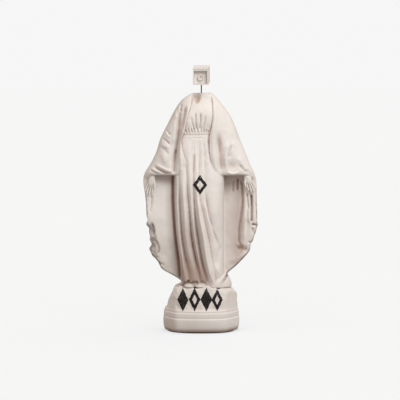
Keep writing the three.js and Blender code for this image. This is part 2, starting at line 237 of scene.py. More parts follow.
def cavity_of(points, quads, edges, rounds):
    """How far each point lies in a hollow, from -1 on a ridge to 1 in a valley."""
    soft = relax(points, edges, rounds)
    depth = ((soft - points) * normals_of(points, quads)).sum(axis=1)
    spread = relax(np.stack([depth, depth, depth], axis=1), edges, 2)[:, 0]
    return np.clip(spread / 1.6, -1, 1)


def cast_object(name, points, quads, smooth=2, shade_and_dirt_maps=None):
    """A smooth-shaded object in metres, with its hollows, its painted shade and some dirt in float
    attributes.
    """
    edges = edges_of(quads)
    points = relax(points.astype(np.float64), edges, smooth)
    fine = cavity_of(points, quads, edges, 14)
    broad = cavity_of(points, quads, edges, 90)
    mesh = bpy.data.meshes.new(name)
    mesh.vertices.add(len(points))
    mesh.vertices.foreach_set("co", (points * 0.001).astype(np.float32).ravel())
    mesh.loops.add(quads.size)
    mesh.loops.foreach_set("vertex_index", quads.ravel().astype(np.int32))
    mesh.polygons.add(len(quads))
    mesh.polygons.foreach_set("loop_start", np.arange(0, quads.size, 4, dtype=np.int32))
    mesh.polygons.foreach_set("use_smooth", np.ones(len(quads), dtype=bool))
    mesh.update(calc_edges=True)
    clear, brown_shade_and_dirt, edge_shade_and_dirt = shade_and_dirt_maps(*points.T) if shade_and_dirt_maps else (np.ones(len(points)), fine * 0, fine * 0)
    # hollow and deep hold the cavity, scaled by how strongly painted shade shows there
    for label, values in (("hollow", fine * clear), ("deep", broad * clear), ("brown_shade_and_dirt", brown_shade_and_dirt),
                          ("edge_shade_and_dirt", edge_shade_and_dirt)):
        layer = mesh.attributes.new(label, "FLOAT", "POINT")
        layer.data.foreach_set("value", values.astype(np.float32))
    made = bpy.data.objects.new(name, mesh)
    bpy.context.scene.collection.objects.link(made)
    return made


def oval(x, y, half_left, half_right, front, back, mid_y=0.0, power=2.4):
    """Distance to an upright oval whose four reaches may all differ."""
    u = np.where(x < 0, -x / half_left, x / half_right)
    v = np.where(y < mid_y, (mid_y - y) / front, (y - mid_y) / back)
    reach = np.where(x < 0, half_left, half_right)
    deep = np.where(y < mid_y, front, back)
    ring = (u ** power + v ** power) ** (1 / power)
    safe = np.maximum(ring, 1e-3)
    slope = np.sqrt((u / safe / reach) ** 2 + (v / safe / deep) ** 2) + 1e-4
    return (ring - 1) / slope


# ---------------------------------------------------------------- the figure's outlines
LEFT_EDGE = [(100, 38), (110, 47), (122, 64), (136, 87), (146, 93), (153, 96), (160, 102), (168, 110),
             (176, 113), (190, 113), (208, 113), (225, 117), (253, 121), (277, 122), (308, 125),
             (333, 128), (346, 127), (356, 123), (370, 114), (396, 100.5), (431, 89), (462, 73.5),
             (494, 57), (510, 46.5), (518, 39), (525, 29), (531, 18)]
RIGHT_EDGE = [(100, 40), (110, 46), (120, 53), (129, 62), (145, 80), (162, 96), (175, 107), (183, 111),
              (195, 112.5), (210, 119), (225, 124), (240, 126), (256, 126), (280, 125), (308, 124.5),
              (330, 124), (345, 121), (356, 117), (370, 110), (393, 101), (427, 87), (458, 75.5),
              (486, 61.5), (500, 51.5), (510, 43.5), (520, 35), (526, 30), (531, 24)]
# How far back the widest line of the cloak lies.
RIM_Y = [(100, 24), (112, 18), (130, 9), (150, 3), (180, -3), (210, -7), (250, -9), (290, -4),
         (320, -3), (345, -3), (360, 0), (531, 0)]
BACK_DEPTH = [(100, 38), (130, 46), (180, 50), (250, 49), (320, 48), (396, 48), (430, 47), (460, 44),
              (486, 40), (510, 32), (524, 24), (531, 17)]
SLEEVE_DEPTH = [(300, 4), (316, 4), (334, 8), (348, 30), (354, 36), (371, 39), (396, 40), (430, 40),
                (460, 39), (486, 35), (510, 27), (524, 20), (531, 15)]
LAPEL_LEFT = [(340, -29), (360, -30.5), (371, -31.5), (387, -36), (409, -41.5), (425, -44),
              (434, -41.5), (446, -37), (463, -33.5), (475, -30.5), (491, -26.5), (505, -22.5),
              (517, -20), (531, -18)]
LAPEL_RIGHT = [(325, 49), (333, 47), (345, 39), (355, 33), (371, 25.5), (382, 22.5), (395, 20),
               (405, 19), (432, 19), (445, 21.5), (461, 24.5), (483, 27), (506, 26.5), (522, 24),
               (531, 21)]

# Fold lines of the gown, from the left of the view to the right: (height, x).
FOLDS = [
    [(100, -44), (122, -46), (158, -48.5), (180, -51.5), (216, -57), (262, -60), (311, -62), (340, -62),
     (360, -60)],
    [(100, -24), (129, -27), (158, -30.5), (180, -36), (216, -42), (236, -43.5), (284, -46.5),
     (311, -48), (340, -49.5), (360, -50)],
    [(100, 1), (129, -4.5), (158, -10), (180, -15), (216, -21), (248, -23), (284, -27), (311, -30),
     (350, -31.5), (370, -32), (390, -36), (408, -40.5)],
    [(100, 20), (129, 11), (158, 2.5), (180, -1.5), (216, -7), (229, -9), (284, -14.5), (311, -16),
     (350, -17), (388, -15), (417, -15), (432, -14)],
    [(100, 36), (118, 34), (150, 28), (180, 22.5), (216, 15.5), (262, 5.5), (300, -2.3), (340, -4),
     (388, -4.5), (432, -5)],
    [(100, 52), (140, 51), (167, 48), (191, 40.5), (216, 31.5), (238, 24), (269, 16), (296, 12),
     (318, 9), (335, 9), (362, 9.5), (388, 6.5), (419, 4.5), (432, 4)],
    [(100, 54), (120, 53), (150, 51), (330, 50), (350, 40), (371, 27), (405, 20), (432, 20)],
]
# How full each fold stands between its line and the next, by height.
FULLNESS = [
    [(100, 6), (160, 8), (230, 8), (320, 7), (350, 4), (400, 0)],
    [(100, 5), (160, 8), (230, 9), (320, 7), (360, 4), (400, 0)],
    [(100, 3), (140, 6), (180, 10), (260, 9), (320, 6), (380, 4.5), (415, 2), (432, 0)],
    [(100, 4), (140, 9), (180, 12), (260, 9), (310, 5.5), (360, 5), (400, 2.5), (432, 0)],
    [(100, 2), (160, 4), (216, 5), (262, 3), (300, 1.5), (360, 2), (400, 1.5), (432, 0)],
    [(100, 0), (167, 1), (216, 3), (262, 3), (310, 2), (362, 3), (400, 2), (432, 0)],
]
GOWN_LEFT = [(100, -44), (122, -45), (158, -47), (180, -50), (216, -54), (262, -57), (311, -58.5),
             (360, -59), (400, -56), (440, -52), (480, -40), (500, -30), (508, -24), (516, -16),
             (524, -5), (531, -3)]
GOWN_RIGHT = [(100, 54), (120, 53), (150, 52), (330, 52), (350, 52), (371, 48), (405, 41), (440, 36),
              (480, 37), (500, 36), (510, 33), (520, 30), (531, 26)]
GOWN_FRONT = [(100, 45), (125, 46), (160, 44), (200, 44), (240, 46), (280, 47), (330, 44), (380, 38),
              (420, 34), (437, 33), (452, 35), (470, 38), (488, 36), (500, 31), (510, 24), (518, 19),
              (531, 15)]


def gown_folds(volume):
    """Depth of the gown's front over its plain oval."""
    relief = volume.relief()
    z = relief.z
    lines = [track(line, z) for line in FOLDS]
    for i, fullness in enumerate(FULLNESS):
        span = np.maximum(lines[i + 1] - lines[i], 2.0)
        t = np.clip((relief.x - lines[i]) / span, 0, 1)
        inside = (relief.x >= lines[i]) & (relief.x < lines[i + 1])
        crown = np.clip(np.sin(np.pi * t), 0, 1) ** 0.75
        relief.depth += np.where(inside, track(fullness, z) * crown, 0)
    # deep, dark valleys low down on the left
    relief.stroke([(-50, 335), (-47, 285), (-44, 236), (-38, 180), (-33, 150), (-28, 108)], 4.4, -12)
    relief.stroke([(-31, 350), (-27, 285), (-21, 216), (-15, 180), (-7, 140), (0, 108)], 5.0, -11)
    relief.stroke([(-17, 350), (-15, 285), (-9, 229), (-1.5, 180), (6, 145), (17, 108)], 5.4, -8.5)
    relief.stroke([(-16, 400), (-17, 350)], 4, -3)
    # ridges that sweep down to the right from the belly
    relief.bump((-24, 180), (18, 85), -9)
    relief.stroke([(-7, 306), (-2, 254), (6, 215), (13, 165), (24, 120), (29, 104)], 4.2, 6, taper=0.15)
    relief.stroke([(4, 300), (12, 272), (20, 243), (30, 224), (38, 204), (46, 188)], 3.4, 3.4)
    relief.stroke([(9, 318), (12, 296), (16, 268), (24, 238), (32, 215), (41, 190)], 3.0, -3)
    relief.stroke([(46, 196), (38, 170), (36, 140)], 5, -2.5)
    relief.stroke([(30, 158), (42, 134), (50, 122)], 5, 2.2)
    relief.stroke([(24, 140), (34, 118), (40, 108)], 5, -2.2)
    relief.bump((31, 268), (21, 42), 7)
    relief.bump((36, 135), (18, 30), 3)
    # thin folds down from the belt
    for x, low, deep in ((-24, 372, -1.6), (-8.5, 362, -1.8), (-1, 350, -1.4), (11, 380, -1.5)):
        relief.stroke([(x * 0.7 - 2, 430), (x, low)], 2.4, deep, taper=0.3)
    # the bodice, gathered to the middle of the belt
    relief.stroke([(-12, 491), (-12, 470), (-8.5, 446)], 1.8, -4.2)
    relief.stroke([(-1, 491), (-1.5, 468), (-4, 446)], 1.8, -4.2)
    relief.stroke([(10, 484), (8, 466), (2, 446)], 1.8, -3)
    relief.stroke([(-22, 480), (-20, 466), (-13, 447)], 2.2, -2.4)
    for x, high, lean in ((-30, 452, -5), (-25, 455, -4), (-19, 456, -3), (-14, 457, -2), (-7, 456, 0),
                          (0, 457, 2), (5, 456, 3), (10, 454, 4), (15, 452, 4)):
        relief.stroke([(x, 441), (x + lean, high)], 1.6, -3.4, taper=0.35)
        relief.stroke([(x + 2.5, 441), (x + 2.5 + lean, high)], 1.6, 1.4, taper=0.35)
    # the belt
    relief.stroke([(-42, 439), (-10, 438), (24, 439.5)], 1.5, -1.7, taper=0)
    relief.stroke([(-22, 433), (-10, 432), (8, 433)], 1.4, -1.4, taper=0.2)
    relief.depth += 0.5 * noise2(relief.x, relief.z, 17, 3) + 0.25 * noise2(relief.x, relief.z, 7, 4)
    return relief.depth[:, None, :]


def sleeve_folds(volume):
    """Depth of the cloak over the arms."""
    relief = volume.relief()
    # the grooves between the hanging edge of the cloak and the arms
    relief.stroke([(-47, 502), (-47.5, 478), (-49, 448)], 8, -6, taper=0.4)
    relief.stroke([(-47, 500), (-48, 470), (-50, 438), (-55, 405), (-59, 374), (-60, 350)], 4.4, -20,
                  taper=0.42)
    relief.stroke([(-54, 410), (-59, 374), (-60, 350)], 4.2, -9, taper=0.2)
    relief.stroke([(-61, 430), (-64, 400), (-67, 370)], 6, -4)
    relief.stroke([(38, 450), (40, 420), (42, 395), (44, 370), (46, 345)], 6.0, -11, taper=0.35)
    # the hanging edges themselves
    relief.stroke([(-26, 510), (-32, 480), (-39, 445), (-46, 415), (-44, 375), (-44, 350)], 4, 4.5,
                  taper=0.1)
    relief.stroke([(-33, 505), (-38, 478), (-44, 448)], 3.6, -8)
    relief.stroke([(-42, 508), (-45, 498), (-44, 488)], 2.4, -6)
    relief.stroke([(29, 512), (31, 480), (28, 445), (27, 410), (30, 380), (36, 352)], 5, 3.5, taper=0.1)
    # left arm
    relief.stroke([(-61, 510), (-57, 490), (-54, 470)], 4, 3)
    relief.stroke([(-80, 452), (-73, 444), (-66, 436)], 2.2, -4.5)
    relief.stroke([(-80, 446), (-73, 438), (-66, 434)], 3.2, 2.6)
    relief.stroke([(-88, 431), (-78, 426), (-68, 416)], 2.2, -5)
    relief.stroke([(-92, 412), (-80, 405), (-70, 392)], 3, -2.5)
    relief.stroke([(-90, 420), (-80, 414), (-68, 411)], 3.6, 2.8)
    relief.stroke([(-106, 370), (-94, 363), (-80, 356), (-66, 352)], 2.2, -6, steep=0.5)
    relief.stroke([(-104, 374), (-90, 368), (-74, 360), (-60, 357)], 3.2, 4.5)
    relief.stroke([(-113, 362), (-104, 356), (-92, 351)], 2.0, -5)
    relief.stroke([(-113, 366), (-103, 359), (-95, 355)], 2.8, 3)
    relief.stroke([(-90, 400), (-82, 388), (-78, 375)], 6, 2.5)
    # right arm
    relief.stroke([(62, 428), (57, 405), (54, 385), (56, 360)], 3.6, 4)
    relief.stroke([(70, 420), (64, 400), (61, 385)], 3.2, -3)
    relief.stroke([(76, 428), (70, 408), (66, 392)], 3.2, 2.4)
    relief.bump((69, 372), (11, 12), -6)
    relief.stroke([(58, 356), (72, 352), (86, 356)], 3, 4, taper=0.15)
    relief.stroke([(82, 392), (94, 372), (108, 356)], 5, 4)
    relief.stroke([(84, 374), (94, 362), (103, 352)], 3, -3.5)
    relief.stroke([(100, 362), (110, 352), (116, 346)], 2.6, -3.5)
    relief.stroke([(62, 490), (72, 455), (80, 425)], 6, 1.6)
    relief.stroke([(52, 500), (58, 470), (60, 445)], 5, -1.8)
    relief.depth += 0.9 * noise2(relief.x, relief.z, 26, 11) + 0.35 * noise2(relief.x, relief.z, 9, 12)
    return relief.depth[:, None, :]


def lining_folds(volume):
    """Depth of the inside of the hanging cloak, above 0 towards the viewer."""
    relief = volume.relief()
    # beside the gown
    relief.stroke([(-62, 352), (-62.5, 311), (-61, 262), (-57, 216), (-52, 180), (-49, 150), (-46, 112)],
                  3.2, -7, taper=0.05)
    # left side: a strip that hangs from the hand, then the rolled, crumpled edge
    relief.stroke([(-76, 345), (-77, 280), (-74, 220), (-68, 165)], 7, -1.5, taper=0.1)
    relief.stroke([(-110, 306), (-110.5, 285), (-115, 262)], 3.2, -4.5, taper=0.15)
    relief.stroke([(-119, 306), (-119, 285), (-119, 266)], 3.4, 4, taper=0.15)
    relief.stroke([(-124, 290), (-121, 270), (-119, 252)], 2.0, -6)
    relief.stroke([(-113, 244), (-106, 232), (-105, 218), (-110, 208)], 2.2, -6)
    relief.bump((-113, 224), (5, 11), 5)
    relief.stroke([(-118, 234), (-114, 226), (-117, 216)], 1.8, -5)
    relief.stroke([(-106, 208), (-98, 196), (-94, 182), (-98, 166)], 2.2, -6)
    relief.bump((-105, 182), (6, 13), 7)
    relief.stroke([(-107, 196), (-103, 184), (-106, 172)], 1.8, -5)
    relief.stroke([(-111, 172), (-104, 165), (-97, 160)], 2.4, -6)
    relief.stroke([(-94, 152), (-88, 148), (-82, 144)], 2.0, -4)
    relief.stroke([(-60, 345), (-58, 260), (-54, 190), (-50, 140)], 5, -2, taper=0.1)
    # right side: folds that gather under the hand, and the two strips that hang from it
    relief.stroke([(86, 345), (92, 322), (93, 290), (89, 255), (85, 220), (85, 200), (92, 184)], 2.6, -6,
                  taper=0.12)
    relief.stroke([(83, 345), (82, 325), (81, 308)], 2.0, -7)
    relief.stroke([(73, 340), (72, 325), (71, 305)], 2.6, -3)
    relief.stroke([(98, 335), (99, 290), (98, 240), (96, 200)], 4, 3.5, taper=0.15)
    relief.stroke([(107, 306), (108, 285), (108, 240)], 3.6, 5, taper=0.15)
    relief.stroke([(102, 312), (105, 290), (107, 268)], 1.6, -5)
    relief.stroke([(110, 312), (112, 292), (113, 275)], 1.6, -4)
    relief.stroke([(113, 306), (113.5, 272), (113, 242)], 2.4, -11, taper=0.1)
    relief.stroke([(121, 306), (122, 272), (122, 244)], 3.4, 4, taper=0.1)
    relief.stroke([(113, 238), (120, 238), (127, 234)], 2.2, -9, taper=0.15)
    relief.stroke([(114, 232), (117, 222), (118, 212)], 2.6, -5)
    relief.stroke([(106, 200), (112, 196), (116, 200)], 2.4, -7)
    relief.stroke([(78, 184), (94, 183), (107, 180)], 6, -6)
    relief.stroke([(62, 152), (80, 160), (98, 172)], 5, 2.5)
    relief.depth += 0.6 * noise2(relief.x, relief.z, 21, 21) + 0.3 * noise2(relief.x, relief.z, 9, 22)
    return relief.depth[:, None, :]


def back_folds(volume):
    """Depth of the cloak's back: long folds that fan out from the shoulders and fade towards the hem."""
    relief = volume.relief()
    # spread of the fold across the back, height where it starts, width, depth
    fans = ((-0.90, 430, 6, 3.4), (-0.70, 492, 9, 5.0), (-0.52, 380, 6, 2.6), (-0.34, 500, 10, 5.6),
            (-0.12, 440, 7, 3.2), (0.10, 502, 10, 5.2), (0.33, 400, 6, 3.0), (0.52, 490, 9, 5.4),
            (0.72, 440, 7, 3.4), (0.90, 470, 7, 3.6))
    for i, (spread, top, wide, deep) in enumerate(fans):
        heights = np.linspace(top, 116, 8)
        reach = track([(100, 50), (130, 66), (190, 94), (270, 102), (350, 90), (430, 64), (505, 36)],
                      heights)
        across = spread * reach + 3.5 * np.sin(heights / 47 + 1.9 * i)
        relief.stroke(list(zip(across, heights)), wide, -0.75 * deep, taper=0.3)
        relief.stroke(list(zip(across + 1.5 * wide, heights - 14)), wide * 1.1, deep * 0.5, taper=0.35)
    relief.bump((0, 498), (30, 22), 4)
    relief.depth += 1.4 * noise2(relief.x, relief.z, 34, 31) + 0.6 * noise2(relief.x, relief.z, 13, 32)
    return relief.depth[:, None, :]


def figure_distance(volume):
    x, y, z = volume.x, volume.y, volume.z
    left, right = track(LEFT_EDGE, z), track(RIGHT_EDGE, z)
    ripple_left = 2.0 * np.sin(z / 4.6) + 1.5 * np.sin(z / 2.9 + 1)
    ripple_right = 1.6 * np.sin(z / 5.4 + 2) + 1.2 * np.sin(z / 3.1)
    ripple_left = ripple_left * smooth_step(150, 170, z) * smooth_step(285, 255, z) * 0.8
    ripple_right = ripple_right * smooth_step(165, 185, z) * smooth_step(262, 240, z) * 0.5
    left = left + ripple_left * smooth_step(0.84, 0.98, -x / left)
    right = right + ripple_right * smooth_step(0.84, 0.98, x / right)
    rim, back = track(RIM_Y, z), track(BACK_DEPTH, z)

    # the cloak below the arms: an oval behind the rim, hollowed out from the front
    behind = back - rim + back_folds(volume)
    cloak = oval(x, y, left, right, 6.5, behind, rim, PLAN_POWER)
    reach = np.where(x < 0, -x / left, x / right)
    floor_left = track([(100, 26), (130, 17), (180, 4), (250, -3), (320, -4), (352, 6), (400, 12)], z)
    floor_right = track([(100, 28), (130, 26), (180, 23), (250, 21), (320, 21), (352, 21), (400, 20)], z)
    floor_y = np.where(x < 0, floor_left, floor_right)
    sweep = np.clip(reach / 0.965, 0, 1.15) ** np.where(x < 0, 1.6, 1.5)
    lining = floor_y + (rim - 5 - floor_y) * sweep - lining_folds(volume)
    slope_x = np.gradient(lining, volume.voxel, axis=0)
    slope_z = np.gradient(lining, volume.voxel, axis=2)
    hollow = (lining - y) / np.sqrt(1 + slope_x ** 2 + slope_z ** 2)
    cloak = smooth_max(cloak, hollow, 2.5)
    cloak = np.maximum(cloak, z - (NECK_TOP_Z - 1))

    # the cloak over the arms, open between its edges on the chest and hollow at its hem
    depth = track(SLEEVE_DEPTH, z) + sleeve_folds(volume)
    arms = oval(x, y, left, right, depth, back - 4, 0.0, np.where(y < 0, 2.7, 2.3))
    inner_left, inner_right = track(LAPEL_LEFT, z), track(LAPEL_RIGHT, z)
    opening = smooth_min(smooth_min(x - inner_left, inner_right - x, 4), BED_Y - y, 3)
    outer_hem = HEM_Z - 38 * smooth_step(-110, -124, x) - 16 * smooth_step(97, 120, x)
    inside_out = np.minimum(-(arms + 6), HEM_Z + 11 - z)
    sleeves = smooth_max(arms, outer_hem - z, 3)
    sleeves = np.maximum(sleeves, opening)
    sleeves = np.maximum(sleeves, inside_out)
    sleeves = np.maximum(sleeves, z - NECK_TOP_Z)
    # nothing of the sleeves stands out behind the cloak's own back; in front they are free
    sleeves = np.maximum(sleeves, oval(x, y, left, right, 220, behind, rim, PLAN_POWER))

    # the gown, and the neck stump that rises from it
    edge_left, edge_right = track(GOWN_LEFT, z), track(GOWN_RIGHT, z)
    middle, half = (edge_left + edge_right) / 2, (edge_right - edge_left) / 2
    front = track(GOWN_FRONT, z) + gown_folds(volume)
    gown = oval(x - middle, y, half, half, front, 36, 0.0, 3.2 - 0.8 * smooth_step(480, 515, z))
    gown = smooth_max(gown, z - (NECK_TOP_Z - 2), 2)
    lifted = smooth_step(24, 8, x) * smooth_step(-46, -36, x) * (y < 0)
    hem = 98 + (16 + 2.2 * np.sin(x / 2.6) + 1.4 * np.sin(x / 1.5 + 1)) * lifted
    gown = smooth_max(gown, hem - z, 1.5)

    figure = smooth_min(smooth_min(cloak, gown, 2.5), sleeves, 2)
    # the hollow left of the neck, under the edge of the cloak
    pit = np.sqrt(((x + 10) / 9.5) ** 2 + ((y + 20) / 25) ** 2 + ((z - 527) / 19) ** 2)
    figure = smooth_max(figure, (1 - pit) * 9, 4)

    # the globe under the feet, fuller at the front right, and two feet below the hem
    globe = np.sqrt(((x - 12) / 57) ** 2 + (y / 46) ** 2 + ((z - 95) / 57) ** 2)
    rough = 1.8 * noise3(x, y, z, 7, 81) * smooth_step(46, 34, x) * smooth_step(-30, -38, y)
    figure = smooth_min(figure, (globe - 1) * 48 + rough, 1.5)
    bulge = np.sqrt(((x - 38) / 31) ** 2 + ((y + 14) / 36) ** 2 + ((z - 102) / 32) ** 2)
    figure = smooth_min(figure, (bulge - 1) * 31, 1.5)
    for foot_x, lean in ((-26, -0.12), (-2, 0.14)):
        across = x - foot_x - lean * (y + 50)
        foot = np.sqrt((across / 9.5) ** 2 + ((y + 42) / 13) ** 2 + ((z - 104) / 6) ** 2)
        figure = smooth_min(figure, (foot - 1) * 7, 2)
        for toe, size in ((-7.0, 2.2), (-3.2, 2.4), (0.8, 2.4), (4.6, 2.3), (8.2, 1.9)):
            tip = np.sqrt((across - toe) ** 2 + ((y + 54 - 0.06 * toe * toe) * 0.8) ** 2 + (z - 104) ** 2)
            figure = smooth_min(figure, tip - size * 1.15, 0.4)
    return smooth_max(figure, SEAT_Z - z, 0.3)


def figure_shade_and_dirt(x, y, z):
    """How strongly the painted shade shows in the hollows, how much brown painted shade (with some dirt
    in the gown's valleys) lies on the paint, and how much grey painted shade with some dirt lies along
    the cloak's edge.
    """
    front = smooth_step(8, -2, y)
    # painted shade, with some brown dirt, in the valleys low on the left of the gown, up to the long
    # ridge that sweeps down from the belly
    ridge = track([(100, 25), (120, 20), (165, 9), (215, 2), (254, -6), (306, -12)], z)
    gown_left = track(GOWN_LEFT, z)
    valleys = smooth_step(0, 9, ridge - x) * smooth_step(-3, 3, x - gown_left)
    valleys = valleys * smooth_step(290, 165, z) * front
    valleys = valleys * smooth_step(104, 116, z) * (0.36 + 0.34 * smooth_step(180, 130, z))
    # painted shade on the lining of the hanging cloak: its right part, the groove beside the gown and
    # under the hem of the arms
    rim = track(RIM_Y, z)
    reach = np.clip(np.where(x < 0, -x / track(LEFT_EDGE, z), x / track(RIGHT_EDGE, z)), 0, 1)
    outside = rim + (track(BACK_DEPTH, z) - rim) * (1 - reach ** PLAN_POWER) ** (1 / PLAN_POWER)
    inside = smooth_step(-8, 0, y) * smooth_step(352, 346, z) * smooth_step(5, 9, outside - y)
    right = smooth_step(52, 56, x) * (0.12 + 0.3 * smooth_step(60, 86, x)) * smooth_step(99, 93, x)
    right = right + smooth_step(52, 56, x) * smooth_step(98, 104, x) * 0.05
    right = right + 0.25 * np.exp(-((x - 92) / 12) ** 2 - ((z - 186) / 13) ** 2)
    groove = track([(100, -45), (150, -48), (180, -52), (216, -57), (262, -61), (352, -62.5)], z)
    left = 0.5 * np.exp(-((x - groove) / 4.6) ** 2)
    left = left + 0.16 * smooth_step(groove - 20, groove - 4, x) * (x < groove)
    left = left * smooth_step(108, 118, z)
    under_hem = 0.25 * smooth_step(326, 340, z) * smooth_step(116, 100, np.abs(x))
    lining = inside * np.maximum(np.maximum(right, left), under_hem)
    # painted shade in the pit left of the neck and on the left shoulder
    neck = 0.34 * np.exp(-((x + 11) / 8) ** 2 - ((z - 522) / 9) ** 2) * front
    shoulder = 0.22 * np.exp(-((x + 48) / 13) ** 2 - ((z - 468) / 36) ** 2) * front
    neck = np.maximum(neck, shoulder)
    # painted shade, with some dirt, along the hanging cloak's front edge, widest where the left edge is
    # crumpled and rolls away from the light
    edge = np.where(x < 0, track(LEFT_EDGE, z) + x, track(RIGHT_EDGE, z) - x)
    near = smooth_step(7, 0, y - rim)
    low = smooth_step(104, 122, z) * smooth_step(202, 176, z)
    thin = smooth_step(6, 3, edge) * smooth_step(-5, -2, edge) * low
    strips = 0.7 * smooth_step(3.6, 1.6, edge) * smooth_step(176, 202, z) * smooth_step(330, 300, z)
    rolls = 0.75 * smooth_step(18, 11, edge) * smooth_step(158, 170, z)
    rolls = rolls * smooth_step(250, 235, z) * (x < 0)
    edge_shade_and_dirt = near * np.maximum(thin, np.maximum(strips, rolls))
    # the gown meets the lining softly on the right: the painted shade in the hollows is weaker there, and
    # in the spots below
    seam = np.exp(-((x - 57) / 8.5) ** 2) * smooth_step(104, 120, z) * smooth_step(345, 330, z)
    clear = 1 - 0.85 * seam
    clear = clear * (1 - 0.6 * smooth_step(30, 45, x) * smooth_step(135, 120, z))
    strip = np.exp(-((x + 72) / 9) ** 2) * smooth_step(110, 130, z) * smooth_step(335, 310, z)
    clear = clear * (1 - 0.45 * strip)
    clear = clear * (1 - 0.3 * smooth_step(24, 34, y))
    clear = clear * (1 - 0.7 * smooth_step(44, 52, x) * smooth_step(126, 116, z))
    clear = clear * (1 - 0.6 * smooth_step(120, 112, z) * (np.abs(x + 11) < 34) * front)
    brown_shade_and_dirt = np.maximum(np.maximum(valleys, lining), neck)
    return clear, np.clip(brown_shade_and_dirt, 0, 1), np.clip(edge_shade_and_dirt, 0, 1)


def base_shade_and_tint(x, y, z):
    """Brown painted shade under the bullnose, browner paint low at its left corner, and weaker painted
    shade in the hollows by the ledges and the mound's right.
    """
    # painted shade under the bullnose
    below = 0.75 * smooth_step(14, 3, z)
    corner = 0.18 * smooth_step(-44, -62, x) * smooth_step(34, 24, z) * (y < 0)
    clear = 1 - 0.4 * smooth_step(30, 34, z) * smooth_step(52, 48, z)
    clear = clear * (1 - 0.6 * smooth_step(35, 50, x) * smooth_step(48, 54, z))
    return clear, np.maximum(below, corner), 0 * z


figure_volume = Volume((-138, -64, 96), (136, 60, 536), FIGURE_VOXEL)
figure_points, figure_quads = figure_volume.mesh(figure_distance(figure_volume))
figure = cast_object("figure", figure_points, figure_quads, shade_and_dirt_maps=figure_shade_and_dirt)
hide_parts("figure_casting")
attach(figure, "statue")


# ---------------------------------------------------------------- the base
def base_surface():
    volume = Volume((-94, -76, -1), (94, 76, 116), BASE_VOXEL)
    x, y, z = volume.x, volume.y, volume.z
    plan = smooth_max(np.abs(x - 1) - 85, oval(x, y, 91, 93, 68, 68, 0.0, 2.3), 4)
    plan = smooth_max(plan, 0.84 * np.abs(x) + 0.543 * np.abs(y) - 79, 3)
    facing = smooth_step(0.45, 0.85, np.abs(y) / (np.abs(y) + 0.8 * np.abs(x) + 1e-3))
    curl = 22 + 12 * facing
    bullnose = (8 + 6 * facing) * (1 - np.sqrt(np.clip(1 - ((curl - z) / curl) ** 2, 0, 1))) * (z < curl)
    ledges = 1.2 * smooth_step(32.0, 33.0, z) + 1.4 * smooth_step(44.8, 45.8, z)
    ledges = ledges + 1.3 * np.exp(-((z - 33.2) / 1.1) ** 2) + 1.3 * np.exp(-((z - 46.0) / 1.1) ** 2)
    plinth = smooth_max(plan + bullnose + ledges, z - 52, 5)

    left = track([(40, 79), (58, 74), (72, 69.5), (85, 65), (94, 61), (104, 55)], z)
    right = track([(40, 83), (60, 81), (75, 80.5), (84, 79), (91, 74), (97, 67), (104, 60)], z)
    front = track([(40, 64), (60, 61), (80, 60), (92, 59), (104, 55)], z)
    back = track([(40, 63), (60, 59), (80, 57), (92, 54), (104, 48)], z)
    mound = oval(x, y, left, right, front, back, 0.0, 3.2)
    rough = 2.2 * noise3(x, y, z, 21, 41) + 1.6 * noise3(x, y, z, 10, 51) + 0.6 * noise3(x, y, z, 5, 61)
    mound = mound + rough * smooth_step(46, 60, z)
    crest = SEAT_Z + 1.5 + 4 * noise2(x, y, 13, 71) + 2 * noise2(x, y, 6, 72)
    crest = crest - 4 * smooth_step(-40, -55, x)
    mound = smooth_max(mound, z - crest, 4)
    mound = smooth_max(mound, 38 - z, 2)
    mound = smooth_max(mound, plan + 3.5, 3)
    base = smooth_min(plinth, mound, 2)
    base = smooth_max(base, 2.3 - z, 1)
    # the figure stands in the crest, which rises a little around its hem
    level = int((94 - volume.low[2]) / volume.voxel)
    slab_low = (volume.low[0], volume.low[1], volume.low[2] + level * volume.voxel)
    slab = Volume(slab_low, (94, 76, 116), BASE_VOXEL)
    slab.x, slab.y, slab.z = volume.x, volume.y, volume.z[:, :, level:]
    standing = figure_distance(slab)
    base[:, :, level:] = np.maximum(base[:, :, level:], 0.35 - standing)
    return volume.mesh(base)


base_points, base_quads = base_surface()
base = cast_object("base", base_points, base_quads, shade_and_dirt_maps=base_shade_and_tint)
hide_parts("base_casting")
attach(base, "statue")


# ---------------------------------------------------------------- hands
HAND_SLIMNESS = 0.8  # the hand's width as a share of the width its numbers give
HANDS = (("left", 1, (-107, -13, 346), 15), ("right", -1, (101, -13, 350), -21))


def capsule(x, y, z, a, b, r0, r1):
    """Distance to a rod with round ends from a to b, of radius r0 at a and r1 at b."""
    a, b = np.array(a, dtype=np.float32), np.array(b, dtype=np.float32)
    d = b - a
    t = np.clip(((x - a[0]) * d[0] + (y - a[1]) * d[1] + (z - a[2]) * d[2]) / float(d @ d), 0, 1)
    far = np.sqrt((x - a[0] - t * d[0]) ** 2 + (y - a[1] - t * d[1]) ** 2 + (z - a[2] - t * d[2]) ** 2)
    return far - (r0 + (r1 - r0) * t)


